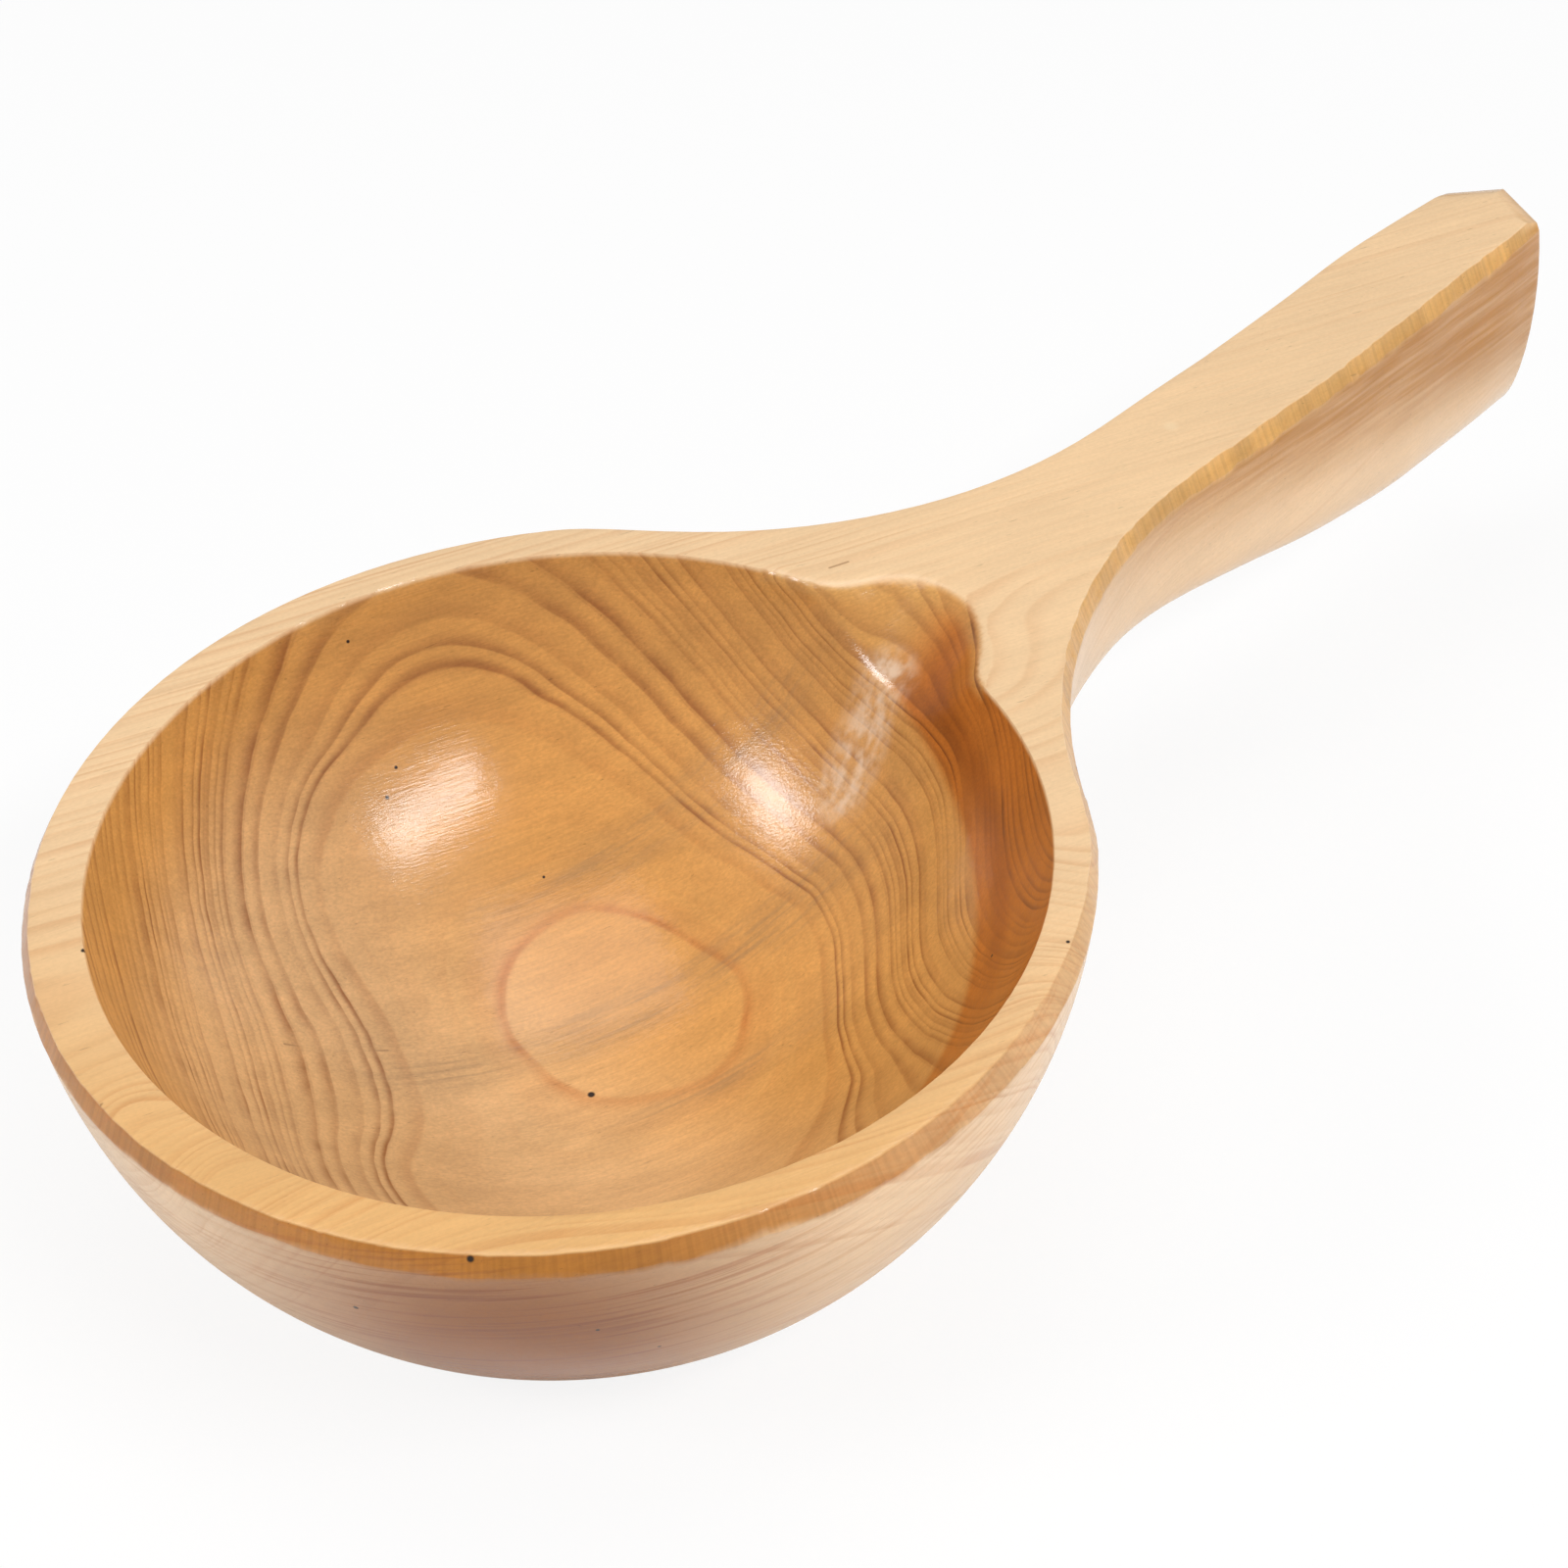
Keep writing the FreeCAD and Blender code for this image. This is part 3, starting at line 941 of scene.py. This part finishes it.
    def chip_rim(self, piece: bpy.types.Object) -> None:
        """Wears the hollow's edge unevenly, with small chips on its far side.

        Args:
            piece: Piece that is worn.
        """
        outer_radius, near_share = 66.5, 0.04
        points = self.places(piece)
        rim = self.rim_frame(points)
        edge = self.hard_edges(piece) & (rim[:, 2] > -0.3)
        edge &= (np.hypot(rim[:, 0], rim[:, 1]) < outer_radius) & ~self.at_notch(rim)
        angle = np.degrees(np.arctan2(rim[:, 1], rim[:, 0]))
        far = np.exp(-((angle - self.chip_angle) / self.chip_spread) ** 2) + near_share
        wobble = np.abs(np.sin(angle * 1.7) + np.sin(angle * 4.3 + 1) + np.sin(angle * 9.1 + 2)) / 3
        outward = rim * (1, 1, 0) / (np.hypot(rim[:, 0], rim[:, 1])[:, None] + 1e-9)
        points[edge] += (outward * (far * wobble * self.chip_depth)[:, None])[edge]
        self.move(piece, points)

    def paint(self, piece: bpy.types.Object) -> None:
        """Marks the carved wood, the notch and the run of the edge's band, for the material to read.

        Args:
            piece: Piece that gets the marks, as one number a point.
        """
        notch_lip, band_end, fade, faintest = -6, 212, 8, 0.25
        points = self.places(piece)
        rim = self.rim_frame(points)
        cut, lightness = self.cut_depth(rim)
        right_of_bowl = np.exp(-((rim[:, 0] - 20) / 36) ** 2) * (rim[:, 1] < 0)
        strength = (0.92 - 0.4 * right_of_bowl) * np.clip((band_end - rim[:, 0]) / fade, faintest, 1)
        marks = {"carved": self.is_carved(points), "notch": self.at_notch(rim) & (rim[:, 2] > notch_lip),
                 "edge_strength": strength, "edge_width": self.bevel_drop - 1.0 + 2.2 * cut,
                 "facet": lightness, "along": self.along_edge(rim)}
        for name, values in marks.items():
            layer = piece.data.attributes.new(name, "FLOAT", "POINT")
            layer.data.foreach_set("value", values.astype(float))

    def build(self) -> bpy.types.Object:
        """Models the ladle on its solid, with knife cuts on its bevel and its edges sanded.

        Returns:
            The finished piece.
        """
        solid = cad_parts["ladle"]
        corners = self.places(solid)
        bpy.ops.object.select_all(action="DESELECT")
        piece = bpy.data.objects.new("ladle_wood", solid.data.copy())
        bpy.context.scene.collection.objects.link(piece)
        only(piece)
        bpy.ops.object.mode_set(mode="EDIT")
        bpy.ops.mesh.select_all(action="SELECT")
        bpy.ops.mesh.remove_doubles(threshold=0.01 * MM)
        bpy.ops.object.mode_set(mode="OBJECT")
        finish_modifier(piece, "REMESH", {"mode": "SHARP", "octree_depth": self.detail, "scale": 0.99,
                                          "sharpness": 1.0})
        self.polish_faces(piece, corners.min(axis=0), corners.max(axis=0))
        self.knife_cuts(piece)
        self.chip_rim(piece)
        finish_modifier(piece, "BEVEL", {"width": self.soft_edge * MM, "segments": 2,
                                         "limit_method": "ANGLE", "angle_limit": self.hard_angle})
        self.paint(piece)
        only(piece)
        bpy.ops.object.shade_smooth()
        piece.data.materials.clear()
        piece.data.materials.append(self.finish.build(self.rim_centre, self.rim_up()))
        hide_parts("ladle")
        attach(piece, "root")
        log.info("%s: %d faces", piece.name, len(piece.data.polygons))
        return piece


@dataclass(frozen=True)
class WhitePaper:
    """Matt white backdrop paper: plain white to the eye, without shine, with a pale soft shadow.

    The eye sees mostly a glow of its own, so that it looks white without more light on the ladle. The
    rest is matt paper that keeps the shadow and throws soft light back up.
    """

    name: str = "white_table"
    paper: float = 0.88
    own_white: float = 0.87

    def build(self) -> bpy.types.Material:
        """Makes the material.

        Returns:
            The finished material.
        """
        material = bpy.data.materials.new(self.name)
        material.use_nodes = True
        tree = material.node_tree
        tree.nodes.clear()
        matt = add_node(tree, "BsdfDiffuse", None, {"Color": (self.paper, self.paper, self.paper, 1)})
        glow = add_node(tree, "Emission", None, {"Color": (1, 1, 1, 1), "Strength": 1.0})
        path = add_node(tree, "LightPath")
        seen = add_node(tree, "Math", MULTIPLY, {0: path.outputs["Is Camera Ray"], 1: self.own_white})
        both = add_node(tree, "MixShader", None, {0: seen, 1: matt, 2: glow})
        add_node(tree, "OutputMaterial", None, {"Surface": both})
        return material


class Side(Enum):
    """Where a softbox stands: azimuth and height of its direction from the bowl, in degrees."""

    RIGHT = (-82.0, 49.0)
    LEFT = (156.0, 37.0)
    TOP = (60.0, 80.0)
    LOW = (-42.0, 10.0)


@dataclass(frozen=True)
class Softbox:
    """One softbox: the side it stands on, its width, height and distance in m, and its power in W."""

    side: Side
    width: float
    height: float
    distance: float
    power: float


def direction(azimuth: float, elevation: float) -> Vector:
    """Turns two angles into a direction.

    Args:
        azimuth: Angle round from the handle's side, in radians.
        elevation: Angle up from the table, in radians.

    Returns:
        Direction, 1 long.
    """
    level = math.cos(elevation)
    return Vector((math.cos(azimuth) * level, math.sin(azimuth) * level, math.sin(elevation)))


@dataclass
class Studio:
    """White table, softboxes and camera. Lengths in m."""

    table_size: float = 12.0
    rim_centre: Place = (1.3 * MM, -0.6 * MM, 51.5 * MM)
    camera_offset: Place = (-226.9 * MM, -261.8 * MM, 293.0 * MM)
    camera_azimuth: float = math.radians(44.37)
    camera_drop: float = math.radians(39.23)
    lens: float = 78.75
    room_light: float = 0.22
    room_shine: float = 0.45
    softboxes: tuple[Softbox, ...] = (Softbox(Side.RIGHT, 0.62, 0.20, 1.2, 7.0),
                                      Softbox(Side.LEFT, 0.42, 0.18, 1.2, 5.5),
                                      Softbox(Side.TOP, 1.0, 1.0, 1.5, 7.5),
                                      Softbox(Side.LOW, 0.6, 0.3, 1.4, 3.5))
    paper: WhitePaper = field(default_factory=WhitePaper)

    def table(self) -> bpy.types.Object:
        """Lays the white table and dresses it.

        Returns:
            The table.
        """
        bpy.ops.object.select_all(action="DESELECT")
        bpy.ops.mesh.primitive_plane_add(size=self.table_size, location=(0, 0, 0))
        floor = bpy.context.object
        floor.name = "table"
        floor.data.materials.append(self.paper.build())
        return floor

    def lamps(self) -> None:
        """Hangs the softboxes round the bowl. The low one lights the near side and isn't mirrored."""
        for softbox in self.softboxes:
            towards = direction(*(math.radians(angle) for angle in softbox.side.value))
            lamp = bpy.data.lights.new("softbox_" + softbox.side.name.lower(), "AREA")
            lamp.shape = "RECTANGLE"
            lamp.size, lamp.size_y = softbox.width, softbox.height
            lamp.energy = softbox.power
            box = bpy.data.objects.new(lamp.name, lamp)
            box.location = Vector(self.rim_centre) + towards * softbox.distance
            box.rotation_euler = towards.to_track_quat("Z", "Y").to_euler()
            box.visible_glossy = softbox.side is not Side.LOW
            bpy.context.scene.collection.objects.link(box)

    def room(self) -> None:
        """Lights the room evenly: white to the eye, pale in reflections and dimmer as a light."""
        world = bpy.data.worlds.new("room")
        bpy.context.scene.world = world
        world.use_nodes = True
        tree = world.node_tree
        tree.nodes.clear()
        path = add_node(tree, "LightPath")
        shine = add_node(tree, "MapRange", None, {"Value": path.outputs["Is Glossy Ray"],
                                                  "To Min": self.room_light, "To Max": self.room_shine})
        strength = add_node(tree, "Math", {"operation": "MAXIMUM"},
                            {0: path.outputs["Is Camera Ray"], 1: shine})
        sky = add_node(tree, "Background", None, {"Color": (1, 1, 1, 1), "Strength": strength})
        add_node(tree, "OutputWorld", None, {"Surface": sky})

    def camera(self) -> None:
        """Sets up the camera at the photograph's angle."""
        data = bpy.data.cameras.new("camera")
        data.lens = self.lens
        data.sensor_width = 36
        data.sensor_fit = "HORIZONTAL"
        data.clip_start, data.clip_end = 0.01, 50
        eye = bpy.data.objects.new("camera", data)
        eye.location = Vector(self.rim_centre) + Vector(self.camera_offset)
        look = direction(self.camera_azimuth, -self.camera_drop)
        eye.rotation_euler = look.to_track_quat("-Z", "Y").to_euler()
        bpy.context.scene.collection.objects.link(eye)
        bpy.context.scene.camera = eye


def main() -> None:
    """Builds the ladle and the studio."""
    logging.basicConfig(level=logging.INFO, format="%(name)s: %(message)s")
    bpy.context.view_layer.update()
    Ladle().build()
    studio = Studio()
    studio.table()
    studio.lamps()
    studio.room()
    studio.camera()
    bpy.context.scene.view_settings.view_transform = "Standard"


if __name__ == "__main__":
    main()
